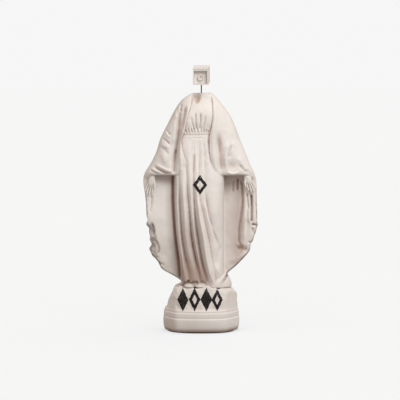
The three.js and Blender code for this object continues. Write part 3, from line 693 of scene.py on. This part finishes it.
def hand_surface(place, thumb, lean):
    """An open hand, palm forward, with its wrist at place, turned by lean degrees.

    thumb is 1 for a thumb on the side of +X and -1 for the other side.
    """
    volume = Volume((-26, -16, -46), (26, 14, 16), HAND_VOXEL)
    x, y, z = volume.x * thumb / HAND_SLIMNESS, volume.y, volume.z
    palm = np.sqrt((x / 9.2) ** 2 + ((y + 0.5) / 4.6) ** 2 + ((z + 11) / 12.5) ** 2)
    hand = (palm - 1) * 5
    hand = smooth_min(hand, capsule(x, y, z, (0, 0, 12), (0, 0, -6), 6.0, 5.4), 4)
    fingers = (((-6.8, -17), (-9.2, -27), (-10.4, -35), 2.2, 1.8),
               ((-2.3, -19), (-3.1, -31), (-3.6, -40), 2.3, 1.9),
               ((2.3, -19), (3.0, -31), (3.5, -39), 2.3, 1.9),
               ((6.8, -17), (8.9, -27), (10.0, -34), 2.1, 1.7))
    for (x0, z0), (x1, z1), (x2, z2), r0, r1 in fingers:
        finger = capsule(x, y, z, (x0 * 0.8, 0, z0 + 6), (x1, 0.8, z1), r0, (r0 + r1) / 2)
        tip = capsule(x, y, z, (x1, 0.8, z1), (x2, -1.6, z2), (r0 + r1) / 2, r1)
        hand = smooth_min(hand, smooth_min(finger, tip, 0.8), 0.8)
    hand = smooth_min(hand, capsule(x, y, z, (6, -1, -8), (12, -3, -17), 3.2, 2.7), 2)
    hand = smooth_min(hand, capsule(x, y, z, (12, -3, -17), (13, -4, -25), 2.7, 2.1), 0.8)
    points, quads = volume.mesh(hand)
    turn = math.radians(lean)
    c, s = math.cos(turn), math.sin(turn)
    moved = points.copy()
    moved[:, 0] = c * points[:, 0] + s * points[:, 2] + place[0]
    moved[:, 1] += place[1]
    moved[:, 2] = -s * points[:, 0] + c * points[:, 2] + place[2]
    return moved, quads


hands = []
for side, thumb, place, lean in HANDS:
    hand_points, hand_quads = hand_surface(place, thumb, lean)
    hand = cast_object("open_hand_" + side, hand_points, hand_quads, 1)
    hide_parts("hand_" + side)
    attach(hand, "statue")
    hands.append(hand)


# ---------------------------------------------------------------- materials
class Shader:
    """Short names for building a material's nodes."""

    def __init__(self, name):
        self.material = bpy.data.materials.new(name)
        self.material.use_nodes = True
        self.tree = self.material.node_tree
        self.bsdf = self.tree.nodes["Principled BSDF"]
        coords = self.tree.nodes.new("ShaderNodeTexCoord")
        self.place = coords.outputs["Object"]

    def node(self, kind, **inputs):
        made = self.tree.nodes.new("ShaderNode" + kind)
        for key, value in inputs.items():
            self.put(made.inputs[key.replace("_", " ")], value)
        return made

    def put(self, socket, value):
        if isinstance(value, bpy.types.NodeSocket):
            self.tree.links.new(value, socket)
        else:
            socket.default_value = value

    def noise(self, scale, detail=3.0, roughness=0.55, vector=None):
        made = self.node("TexNoise", Scale=scale, Detail=detail, Roughness=roughness)
        self.put(made.inputs["Vector"], vector or self.place)
        return made.outputs["Fac"]

    def math(self, operation, a, b=None, clamp=False):
        made = self.tree.nodes.new("ShaderNodeMath")
        made.operation = operation
        made.use_clamp = clamp
        self.put(made.inputs[0], a)
        if b is not None:
            self.put(made.inputs[1], b)
        return made.outputs[0]

    def remap(self, value, low, high, to_low=0.0, to_high=1.0, smooth=False):
        made = self.tree.nodes.new("ShaderNodeMapRange")
        made.interpolation_type = "SMOOTHSTEP" if smooth else "LINEAR"
        self.put(made.inputs["Value"], value)
        for key, number in (("From Min", low), ("From Max", high), ("To Min", to_low),
                            ("To Max", to_high)):
            made.inputs[key].default_value = number
        return made.outputs["Result"]

    def mix(self, fac, a, b):
        made = self.tree.nodes.new("ShaderNodeMix")
        made.data_type = "RGBA"
        self.put(made.inputs["Factor"], fac)
        self.put(made.inputs["A"], a)
        self.put(made.inputs["B"], b)
        return made.outputs["Result"]

    def bump(self, height, distance, strength=1.0):
        made = self.node("Bump", Strength=strength, Distance=distance, Height=height)
        self.put(self.bsdf.inputs["Normal"], made.outputs["Normal"])

    def attribute(self, name):
        made = self.tree.nodes.new("ShaderNodeAttribute")
        made.attribute_name = name
        return made.outputs["Fac"]


def srgb(r, g, b):
    """A colour given as 0 to 255 in sRGB."""
    linear = [((c / 255 + 0.055) / 1.055) ** 2.4 if c > 10 else c / 255 / 12.92 for c in (r, g, b)]
    return (*linear, 1.0)


CREAM = srgb(228, 222, 216)
CREAM_PALE = srgb(235, 230, 225)
# painted shade colours: warmer in broad hollows, brown in creases, brown on shaded spots with some dirt,
# grey along the cloak's edge with some dirt
CREAM_SHADED = srgb(214, 194, 181)
HOLLOW_SHADE = srgb(126, 102, 90)
SHADE_AND_DIRT_BROWN = srgb(158, 128, 108)
SHADE_AND_DIRT_RED = srgb(152, 110, 98)
EDGE_SHADE_GREY = srgb(112, 100, 94)
PAINT_BLACK = srgb(26, 22, 22)

# Painted lozenges: centre x and z, half width, half height, and the share of the half size that the
# bare middle takes (0 for none).
BELLY_MARK = [(-2, 329, 16, 22, 0.47)]
BASE_MARKS = [(-40, 75, 12.5, 26, 0.0), (-14, 76, 13, 26, 0.42), (12, 76, 13, 26, 0.0),
              (36, 75, 12.5, 25, 0.42)]


def cast_paint(name, marks=()):
    """Matt cream paint on a plaster casting: paler on the ridges, with warm, brown painted shade in the
    hollows.

    The marks are lozenges brushed on in black, on the front only.
    """
    s = Shader(name)
    clouds = s.remap(s.noise(14, 4), 0.35, 0.65, smooth=True)
    colour = s.mix(clouds, CREAM, CREAM_PALE)
    # painted shade: warmer in the broad hollows, brown in the creases
    hollow = s.remap(s.attribute("hollow"), 0.05, 0.8, 0, 0.85, smooth=True)
    deep = s.remap(s.attribute("deep"), 0.1, 1.0, 0, 0.6, smooth=True)
    colour = s.mix(deep, colour, CREAM_SHADED)
    colour = s.mix(hollow, colour, HOLLOW_SHADE)
    # brown painted shade, with some dirt in the gown's valleys
    brown_shade_and_dirt = s.mix(s.remap(s.noise(26, 3), 0.45, 0.62, smooth=True), SHADE_AND_DIRT_BROWN, SHADE_AND_DIRT_RED)
    colour = s.mix(s.attribute("brown_shade_and_dirt"), colour, brown_shade_and_dirt)
    # paler paint on the ridges, where the cavity map is below 0
    ridge_paling = s.remap(s.attribute("hollow"), -0.25, -0.9, 0, 0.5)
    colour = s.mix(ridge_paling, colour, CREAM_PALE)
    blotches = s.remap(s.noise(95, 3, 0.6), 0.4, 0.6, 0.45, 1.0, smooth=True)
    # grey painted shade, with some dirt, along the cloak's front edge, in blotches
    colour = s.mix(s.math("MULTIPLY", s.attribute("edge_shade_and_dirt"), blotches), colour, EDGE_SHADE_GREY)
    roughness = s.remap(s.noise(60, 3), 0.3, 0.7, 0.62, 0.8)
    grain = s.math("ADD", s.math("MULTIPLY", s.noise(900, 2), 0.35), s.noise(170, 4, 0.6))
    if marks:
        split = s.node("SeparateXYZ", Vector=s.place)
        ragged = s.math("MULTIPLY", s.math("SUBTRACT", s.noise(160, 4, 0.7), 0.5), 0.35)
        painted = None
        for x, z, half_width, half_height, bare in marks:
            across = s.math("SUBTRACT", split.outputs["X"], x * 0.001)
            across = s.math("ABSOLUTE", s.math("MULTIPLY", across, 1000 / half_width))
            up = s.math("SUBTRACT", split.outputs["Z"], z * 0.001)
            up = s.math("ABSOLUTE", s.math("MULTIPLY", up, 1000 / half_height))
            reach = s.math("ADD", s.math("ADD", across, up), ragged)
            mark = s.remap(reach, 1.04, 0.97)
            if bare:
                mark = s.math("MULTIPLY", mark, s.remap(reach, bare - 0.03, bare + 0.04))
            painted = mark if painted is None else s.math("MAXIMUM", painted, mark)
        front = s.math("LESS_THAN", split.outputs["Y"], -0.02)
        missed = s.remap(s.noise(420, 3, 0.7), 0.3, 0.36)
        painted = s.math("MULTIPLY", s.math("MULTIPLY", painted, front), missed, clamp=True)
        colour = s.mix(painted, colour, PAINT_BLACK)
        roughness = s.math("SUBTRACT", roughness, s.math("MULTIPLY", painted, 0.25))
        grain = s.math("ADD", grain, s.math("MULTIPLY", painted, 0.5))
    s.put(s.bsdf.inputs["Base Color"], colour)
    s.put(s.bsdf.inputs["Roughness"], roughness)
    s.bsdf.inputs["Specular IOR Level"].default_value = 0.3
    s.bump(grain, 0.0006, 0.5)
    return s.material


def plain_metal(name, colour, roughness):
    s = Shader(name)
    tone = s.mix(s.remap(s.noise(220, 3), 0.3, 0.7), colour, tuple(c * 0.7 for c in colour[:3]) + (1.0,))
    s.put(s.bsdf.inputs["Base Color"], tone)
    s.bsdf.inputs["Metallic"].default_value = 1.0
    s.put(s.bsdf.inputs["Roughness"], s.remap(s.noise(500, 2), 0.3, 0.7, roughness, roughness + 0.2))
    s.bump(s.noise(1500, 2), 0.0001, 0.4)
    return s.material


def dark_felt():
    s = Shader("dark_felt")
    s.put(s.bsdf.inputs["Base Color"], s.mix(s.noise(900, 3), srgb(40, 33, 30), srgb(74, 64, 58)))
    s.bsdf.inputs["Roughness"].default_value = 1.0
    s.bsdf.inputs["Sheen Weight"].default_value = 0.4
    s.bump(s.noise(2400, 2), 0.0004, 0.8)
    return s.material


def bare_wood():
    s = Shader("bare_wood")
    stretched = s.node("Mapping")
    stretched.inputs["Scale"].default_value = (1.0, 1.0, 0.08)
    s.put(stretched.inputs["Vector"], s.place)
    grain = s.noise(160, 5, 0.6, stretched.outputs["Vector"])
    s.put(s.bsdf.inputs["Base Color"], s.mix(grain, srgb(196, 160, 116), srgb(150, 110, 72)))
    s.bsdf.inputs["Roughness"].default_value = 0.8
    s.bump(grain, 0.0003, 0.5)
    return s.material


def lens_glass():
    s = Shader("lens_glass")
    s.put(s.bsdf.inputs["Base Color"], s.mix(s.noise(300, 2), srgb(204, 184, 180), srgb(224, 206, 202)))
    s.put(s.bsdf.inputs["Roughness"], s.remap(s.noise(400, 2), 0.3, 0.7, 0.1, 0.2))
    s.bsdf.inputs["Coat Weight"].default_value = 1.0
    return s.material


def wear(obj, material):
    obj.data.materials.clear()
    obj.data.materials.append(material)


PAINT = cast_paint("cast_paint")
STEEL = plain_metal("dark_steel", srgb(74, 74, 78), 0.3)
BRASS = plain_metal("turned_brass", srgb(190, 158, 96), 0.25)
FELT = dark_felt()
WOOD = bare_wood()
LENS = lens_glass()

wear(figure, cast_paint("cast_paint_figure", BELLY_MARK))
wear(base, cast_paint("cast_paint_base", BASE_MARKS))
for piece in hands:
    wear(piece, PAINT)

LOOKS = {"painted_cast": PAINT, "steel": STEEL, "brass": BRASS, "felt": FELT, "wood": WOOD, "lens": LENS}
# Width of the rounding on the small pieces' edges, in millimetres.
SOFT_EDGES = {"camera_housing": 1.0, "sunshield": 0.5, "bezel_plate": 0.4, "rear_cover": 0.7,
              "lens_barrel": 0.5, "lens_ring": 0.4, "lens_pupil": 0.4, "pivot_screw": 0.25,
              "pivot_nut": 0.25}
for entry in frame["record"]["subparts"]:
    node = frame["nodes"][entry["node"]]
    node.data.materials.clear()
    node.data.materials.append(LOOKS[entry["material_slot"]])
    if entry["node"] in SOFT_EDGES:
        bevel = node.modifiers.new("soft_edges", "BEVEL")
        bevel.width = SOFT_EDGES[entry["node"]] * 0.001
        bevel.segments = 3
        bevel.limit_method = "ANGLE"
        bevel.angle_limit = math.radians(40)
        bevel.harden_normals = False


# ---------------------------------------------------------------- floor, light and camera
def plane(name, size, place, material):
    mesh = bpy.data.meshes.new(name)
    half = size / 2
    mesh.from_pydata([(-half, -half, 0), (half, -half, 0), (half, half, 0), (-half, half, 0)], [],
                     [(0, 1, 2, 3)])
    made = bpy.data.objects.new(name, mesh)
    made.location = place
    made.data.materials.append(material)
    bpy.context.scene.collection.objects.link(made)
    return made


def floor_material():
    s = Shader("studio_floor")
    pale = s.mix(s.noise(3, 2), (0.9, 0.9, 0.9, 1), (0.91, 0.91, 0.91, 1))
    # the floor is seen pale but sends less light back up to the statue
    seen = s.tree.nodes.new("ShaderNodeLightPath").outputs["Is Camera Ray"]
    s.put(s.bsdf.inputs["Base Color"], s.mix(seen, (0.4, 0.37, 0.35, 1), pale))
    s.bsdf.inputs["Roughness"].default_value = 1.0
    s.bsdf.inputs["Specular IOR Level"].default_value = 0.0
    return s.material


floor = plane("floor", 60, (0, 0, 0), floor_material())

lit_pieces = bpy.data.collections.new("lit_pieces")
for piece in bpy.context.scene.objects:
    if piece.type == "MESH" and piece is not floor:
        lit_pieces.objects.link(piece)
lit_floor = bpy.data.collections.new("lit_floor")
lit_floor.objects.link(floor)


def sun(name, toward, strength, softness, colour, receivers, shadow=True):
    """Light from the direction toward, on the receivers only."""
    data = bpy.data.lights.new(name, "SUN")
    data.energy = strength
    data.angle = math.radians(softness)
    data.color = colour
    data.use_shadow = shadow
    made = bpy.data.objects.new(name, data)
    made.rotation_euler = Vector(toward).to_track_quat("Z", "Y").to_euler()
    made.light_linking.receiver_collection = receivers
    bpy.context.scene.collection.objects.link(made)
    return made


KEY_PLACE = (0.6, -1.2, 1.5)
KEY_AIM = (0, 0, 0.4)
KEY_WATTS = 19.5
FLOOR_SUN_STRENGTH = 1.6
key_data = bpy.data.lights.new("key", "AREA")
key_data.shape = "DISK"
key_data.size = 0.9
key_data.energy = KEY_WATTS
key_data.color = (0.95, 0.985, 1.0)
key = bpy.data.objects.new("key", key_data)
key.location = KEY_PLACE
key.rotation_euler = (key.location - Vector(KEY_AIM)).to_track_quat("Z", "Y").to_euler()
key.light_linking.receiver_collection = lit_pieces
bpy.context.scene.collection.objects.link(key)
sun("floor_light", (0.0, 0.0, 1.0), FLOOR_SUN_STRENGTH, 10, (0.86, 1.0, 1.06), lit_floor,
    shadow=False)

# The background is seen pale, and lights the statue softly and a little warmly.
world = bpy.data.worlds.new("studio")
world.use_nodes = True
tree = world.node_tree
seen = tree.nodes["Background"]
seen.inputs["Color"].default_value = (0.922, 0.922, 0.922, 1)
soft = tree.nodes.new("ShaderNodeBackground")
soft.inputs["Color"].default_value = (1.0, 0.875, 0.81, 1)
soft.inputs["Strength"].default_value = 0.58
paths = tree.nodes.new("ShaderNodeLightPath")
chosen = tree.nodes.new("ShaderNodeMixShader")
tree.links.new(paths.outputs["Is Camera Ray"], chosen.inputs["Fac"])
tree.links.new(soft.outputs["Background"], chosen.inputs[1])
tree.links.new(seen.outputs["Background"], chosen.inputs[2])
tree.links.new(chosen.outputs["Shader"], tree.nodes["World Output"].inputs["Surface"])
scene = bpy.context.scene
scene.world = world
scene.view_settings.view_transform = "Standard"

CAMERA_DISTANCE = 4.0
CAMERA_HEIGHT = 0.61
FRAME_WIDTH = 0.891  # metres across the picture at the statue
FRAME_CENTRE = (-0.002, 0, 0.292)
SENSOR_WIDTH = 36
camera_data = bpy.data.cameras.new("camera")
camera_data.sensor_width = SENSOR_WIDTH
camera_data.lens = SENSOR_WIDTH * CAMERA_DISTANCE / FRAME_WIDTH
camera = bpy.data.objects.new("camera", camera_data)
camera.location = (FRAME_CENTRE[0], -CAMERA_DISTANCE, CAMERA_HEIGHT)
camera.rotation_euler = (Vector(FRAME_CENTRE) - camera.location).to_track_quat("-Z", "Y").to_euler()
scene.collection.objects.link(camera)
scene.camera = camera
